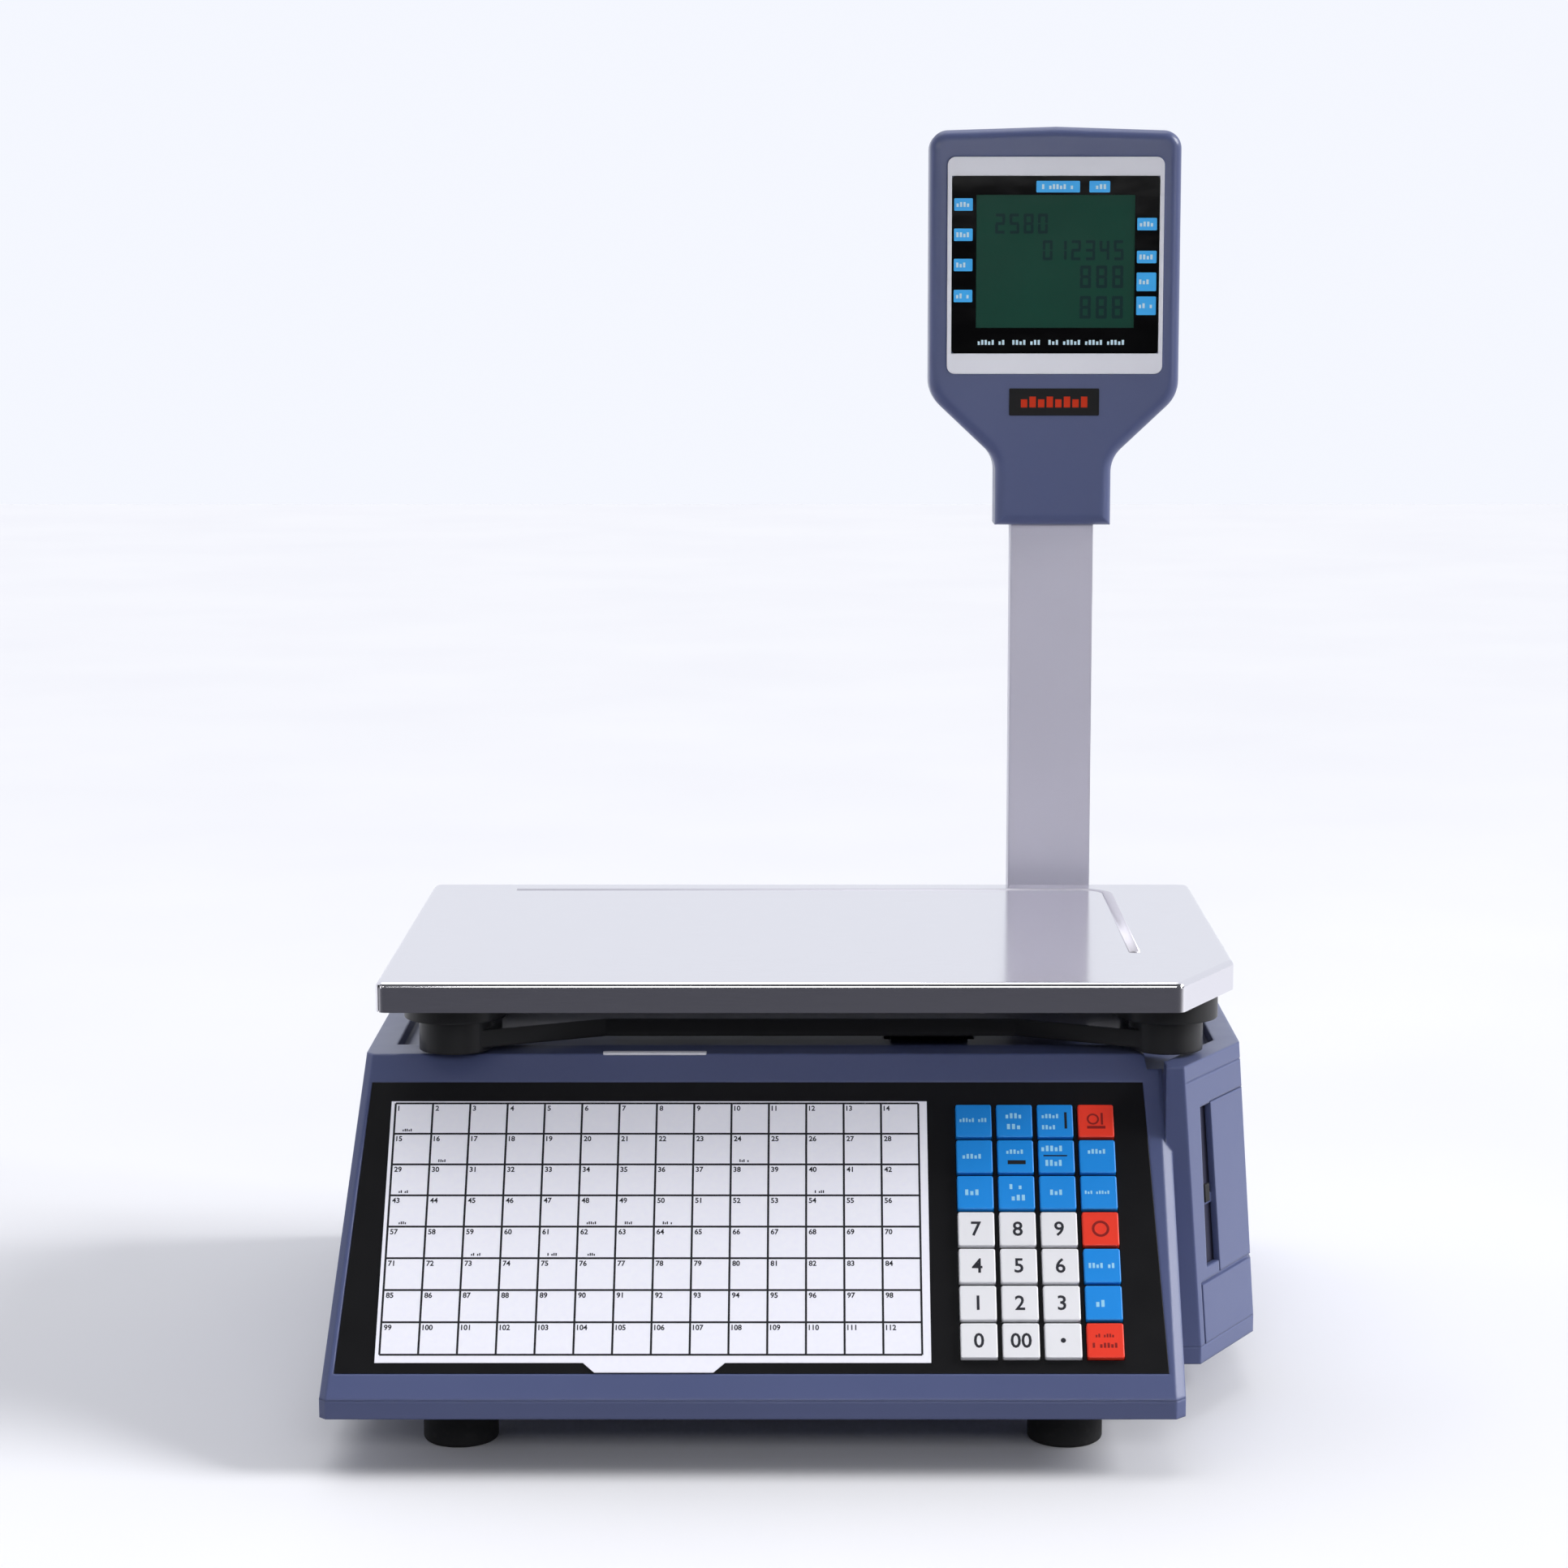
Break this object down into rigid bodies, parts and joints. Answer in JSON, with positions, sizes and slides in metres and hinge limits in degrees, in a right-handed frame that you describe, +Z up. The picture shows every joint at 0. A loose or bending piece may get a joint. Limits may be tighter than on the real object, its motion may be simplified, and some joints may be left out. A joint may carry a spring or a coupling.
{
  "type": "retail price scale",
  "caption": "Counter scale that weighs goods and prints price labels: steel tray, sloping keyboard, side printer door, customer display on a pole.",
  "frame": {"origin": "on the table, under the middle of the whole object", "axes": "+X to the operator's right, +Y away from the operator, +Z up"},
  "size_m": [0.414, 0.382, 0.58],
  "materials": {
    "housing_plastic": "slate-blue moulded plastic with a fine texture",
    "foot_rubber": "matt black rubber",
    "steel": "plated steel",
    "aluminium": "milled aluminium",
    "black_casting": "die casting, black paint",
    "stainless": "finely brushed stainless steel",
    "fascia_black": "black sheet, satin",
    "board_green": "circuit board",
    "card_white": "printed card, satin",
    "chassis_plastic": "black moulded plastic",
    "label_paper": "wound label paper",
    "pole_grey": "light grey powder coat on aluminium",
    "bezel_grey": "light grey moulded plastic",
    "window_black": "black window, gloss",
    "lcd_green": "dark green liquid crystal panel",
    "key_blue": "blue moulded key",
    "key_white": "white moulded key",
    "key_red": "red moulded key"
  },
  "bodies": {
    "housing": {"base_tub": "housing_plastic", "top_cover": "housing_plastic", "housing_screws": "steel", "load_cell": "aluminium", "keypad_fascia": "fascia_black", "keypad_board": "board_green", "printer_chassis": "chassis_plastic", "print_head": "aluminium", "roll_spindle": "chassis_plastic", "door_hinge_pin": "steel", "pole_bracket": "chassis_plastic", "pole": "pole_grey", "head_front_shell": "housing_plastic", "head_rear_shell": "housing_plastic", "display_bezels": "bezel_grey", "display_windows": "window_black", "display_panels": "lcd_green", "main_board": "board_green", "power_inlet": "chassis_plastic"},
    "foot_front_left": {"foot_front_left": "foot_rubber"},
    "foot_front_right": {"foot_front_right": "foot_rubber"},
    "foot_rear_left": {"foot_rear_left": "foot_rubber"},
    "foot_rear_right": {"foot_rear_right": "foot_rubber"},
    "load_platform": {"tray_spider": "black_casting", "tray_pads": "foot_rubber"},
    "tray": {"tray": "stainless"},
    "preset_card": {"preset_key_card": "card_white"},
    "printer_door": {"printer_door": "housing_plastic"},
    "door_latch": {"door_latch": "chassis_plastic"},
    "platen_roller": {"platen_roller": "foot_rubber"},
    "label_roll": {"label_roll": "label_paper"},
    "power_switch": {"power_switch": "chassis_plastic"},
    "key_0": {"key_0": "key_white"},
    "key_00": {"key_00": "key_white"},
    "key_point": {"key_point": "key_white"},
    "key_print": {"key_print": "key_red"},
    "key_1": {"key_1": "key_white"},
    "key_2": {"key_2": "key_white"},
    "key_3": {"key_3": "key_white"},
    "key_total": {"key_total": "key_blue"},
    "key_4": {"key_4": "key_white"},
    "key_5": {"key_5": "key_white"},
    "key_6": {"key_6": "key_white"},
    "key_add": {"key_add": "key_blue"},
    "key_7": {"key_7": "key_white"},
    "key_8": {"key_8": "key_white"},
    "key_9": {"key_9": "key_white"},
    "key_clear": {"key_clear": "key_red"},
    "key_tare": {"key_tare": "key_blue"},
    "key_change": {"key_change": "key_blue"},
    "key_zero": {"key_zero": "key_blue"},
    "key_cash": {"key_cash": "key_blue"},
    "key_f4": {"key_f4": "key_blue"},
    "key_f5": {"key_f5": "key_blue"},
    "key_f6": {"key_f6": "key_blue"},
    "key_f7": {"key_f7": "key_blue"},
    "key_f1": {"key_f1": "key_blue"},
    "key_f2": {"key_f2": "key_blue"},
    "key_f3": {"key_f3": "key_blue"},
    "key_feed": {"key_feed": "key_red"}
  },
  "joints": [
    {"name": "foot_front_left_screw", "type": "slide", "parent": "housing", "child": "foot_front_left", "axis": [0, 0, -1], "range_m": [0, 0.008]},
    {"name": "foot_front_right_screw", "type": "slide", "parent": "housing", "child": "foot_front_right", "axis": [0, 0, -1], "range_m": [0, 0.008]},
    {"name": "foot_rear_left_screw", "type": "slide", "parent": "housing", "child": "foot_rear_left", "axis": [0, 0, -1], "range_m": [0, 0.008]},
    {"name": "foot_rear_right_screw", "type": "slide", "parent": "housing", "child": "foot_rear_right", "axis": [0, 0, -1], "range_m": [0, 0.008]},
    {"name": "load_deflection", "type": "slide", "parent": "housing", "child": "load_platform", "axis": [0, 0, -1], "range_m": [0, 0.0003], "stiffness_N_per_m": 200000, "springref_m": -0.00012},
    {"name": "tray_lift_off", "type": "slide", "parent": "load_platform", "child": "tray", "axis": [0, 0, 1], "range_m": [0, 0.06]},
    {"name": "card_lift_off", "type": "slide", "parent": "housing", "child": "preset_card", "axis": [0, -0.7771, 0.6293], "range_m": [0, 0.02]},
    {"name": "printer_door_hinge", "type": "hinge", "parent": "housing", "child": "printer_door", "pos_m": [0.20148, 0.065, 0.101], "axis": [-0.0663, 0, 0.9978], "range_deg": [0, 110]},
    {"name": "door_latch_slide", "type": "slide", "parent": "housing", "child": "door_latch", "axis": [-0.074, 0, 0.9973], "range_m": [0, 0.0032], "stiffness_N_per_m": 50, "springref_m": -0.002},
    {"name": "roll_spin", "type": "hinge", "parent": "housing", "child": "label_roll", "pos_m": [0.14491, -0.00776, 0.094], "axis": [0, 0, 1], "continuous": true},
    {"name": "platen_spin", "type": "hinge", "parent": "housing", "child": "platen_roller", "pos_m": [0.17123, -0.08918, 0.098], "axis": [0, 0, 1], "continuous": true},
    {"name": "power_switch_rock", "type": "hinge", "parent": "housing", "child": "power_switch", "pos_m": [-0.1255, 0.184, 0.06], "axis": [1, 0, 0], "range_deg": [-14, 0]},
    {"name": "key_0_press", "type": "slide", "parent": "housing", "child": "key_0", "axis": [0, 0.7771, -0.6293], "range_m": [0, 0.0008], "stiffness_N_per_m": 100, "springref_m": -0.001},
    {"name": "key_00_press", "type": "slide", "parent": "housing", "child": "key_00", "axis": [0, 0.7771, -0.6293], "range_m": [0, 0.0008], "stiffness_N_per_m": 100, "springref_m": -0.001},
    {"name": "key_point_press", "type": "slide", "parent": "housing", "child": "key_point", "axis": [0, 0.7771, -0.6293], "range_m": [0, 0.0008], "stiffness_N_per_m": 100, "springref_m": -0.001},
    {"name": "key_print_press", "type": "slide", "parent": "housing", "child": "key_print", "axis": [0, 0.7771, -0.6293], "range_m": [0, 0.0008], "stiffness_N_per_m": 100, "springref_m": -0.001},
    {"name": "key_1_press", "type": "slide", "parent": "housing", "child": "key_1", "axis": [0, 0.7771, -0.6293], "range_m": [0, 0.0008], "stiffness_N_per_m": 100, "springref_m": -0.001},
    {"name": "key_2_press", "type": "slide", "parent": "housing", "child": "key_2", "axis": [0, 0.7771, -0.6293], "range_m": [0, 0.0008], "stiffness_N_per_m": 100, "springref_m": -0.001},
    {"name": "key_3_press", "type": "slide", "parent": "housing", "child": "key_3", "axis": [0, 0.7771, -0.6293], "range_m": [0, 0.0008], "stiffness_N_per_m": 100, "springref_m": -0.001},
    {"name": "key_total_press", "type": "slide", "parent": "housing", "child": "key_total", "axis": [0, 0.7771, -0.6293], "range_m": [0, 0.0008], "stiffness_N_per_m": 100, "springref_m": -0.001},
    {"name": "key_4_press", "type": "slide", "parent": "housing", "child": "key_4", "axis": [0, 0.7771, -0.6293], "range_m": [0, 0.0008], "stiffness_N_per_m": 100, "springref_m": -0.001},
    {"name": "key_5_press", "type": "slide", "parent": "housing", "child": "key_5", "axis": [0, 0.7771, -0.6293], "range_m": [0, 0.0008], "stiffness_N_per_m": 100, "springref_m": -0.001},
    {"name": "key_6_press", "type": "slide", "parent": "housing", "child": "key_6", "axis": [0, 0.7771, -0.6293], "range_m": [0, 0.0008], "stiffness_N_per_m": 100, "springref_m": -0.001},
    {"name": "key_add_press", "type": "slide", "parent": "housing", "child": "key_add", "axis": [0, 0.7771, -0.6293], "range_m": [0, 0.0008], "stiffness_N_per_m": 100, "springref_m": -0.001},
    {"name": "key_7_press", "type": "slide", "parent": "housing", "child": "key_7", "axis": [0, 0.7771, -0.6293], "range_m": [0, 0.0008], "stiffness_N_per_m": 100, "springref_m": -0.001},
    {"name": "key_8_press", "type": "slide", "parent": "housing", "child": "key_8", "axis": [0, 0.7771, -0.6293], "range_m": [0, 0.0008], "stiffness_N_per_m": 100, "springref_m": -0.001},
    {"name": "key_9_press", "type": "slide", "parent": "housing", "child": "key_9", "axis": [0, 0.7771, -0.6293], "range_m": [0, 0.0008], "stiffness_N_per_m": 100, "springref_m": -0.001},
    {"name": "key_clear_press", "type": "slide", "parent": "housing", "child": "key_clear", "axis": [0, 0.7771, -0.6293], "range_m": [0, 0.0008], "stiffness_N_per_m": 100, "springref_m": -0.001},
    {"name": "key_tare_press", "type": "slide", "parent": "housing", "child": "key_tare", "axis": [0, 0.7771, -0.6293], "range_m": [0, 0.0008], "stiffness_N_per_m": 100, "springref_m": -0.001},
    {"name": "key_change_press", "type": "slide", "parent": "housing", "child": "key_change", "axis": [0, 0.7771, -0.6293], "range_m": [0, 0.0008], "stiffness_N_per_m": 100, "springref_m": -0.001},
    {"name": "key_zero_press", "type": "slide", "parent": "housing", "child": "key_zero", "axis": [0, 0.7771, -0.6293], "range_m": [0, 0.0008], "stiffness_N_per_m": 100, "springref_m": -0.001},
    {"name": "key_cash_press", "type": "slide", "parent": "housing", "child": "key_cash", "axis": [0, 0.7771, -0.6293], "range_m": [0, 0.0008], "stiffness_N_per_m": 100, "springref_m": -0.001},
    {"name": "key_f4_press", "type": "slide", "parent": "housing", "child": "key_f4", "axis": [0, 0.7771, -0.6293], "range_m": [0, 0.0008], "stiffness_N_per_m": 100, "springref_m": -0.001},
    {"name": "key_f5_press", "type": "slide", "parent": "housing", "child": "key_f5", "axis": [0, 0.7771, -0.6293], "range_m": [0, 0.0008], "stiffness_N_per_m": 100, "springref_m": -0.001},
    {"name": "key_f6_press", "type": "slide", "parent": "housing", "child": "key_f6", "axis": [0, 0.7771, -0.6293], "range_m": [0, 0.0008], "stiffness_N_per_m": 100, "springref_m": -0.001},
    {"name": "key_f7_press", "type": "slide", "parent": "housing", "child": "key_f7", "axis": [0, 0.7771, -0.6293], "range_m": [0, 0.0008], "stiffness_N_per_m": 100, "springref_m": -0.001},
    {"name": "key_f1_press", "type": "slide", "parent": "housing", "child": "key_f1", "axis": [0, 0.7771, -0.6293], "range_m": [0, 0.0008], "stiffness_N_per_m": 100, "springref_m": -0.001},
    {"name": "key_f2_press", "type": "slide", "parent": "housing", "child": "key_f2", "axis": [0, 0.7771, -0.6293], "range_m": [0, 0.0008], "stiffness_N_per_m": 100, "springref_m": -0.001},
    {"name": "key_f3_press", "type": "slide", "parent": "housing", "child": "key_f3", "axis": [0, 0.7771, -0.6293], "range_m": [0, 0.0008], "stiffness_N_per_m": 100, "springref_m": -0.001},
    {"name": "key_feed_press", "type": "slide", "parent": "housing", "child": "key_feed", "axis": [0, 0.7771, -0.6293], "range_m": [0, 0.0008], "stiffness_N_per_m": 100, "springref_m": -0.001}
  ],
  "couplings": [
    {"joint": "platen_spin", "follows": "roll_spin", "ratio": 7.1429}
  ]
}
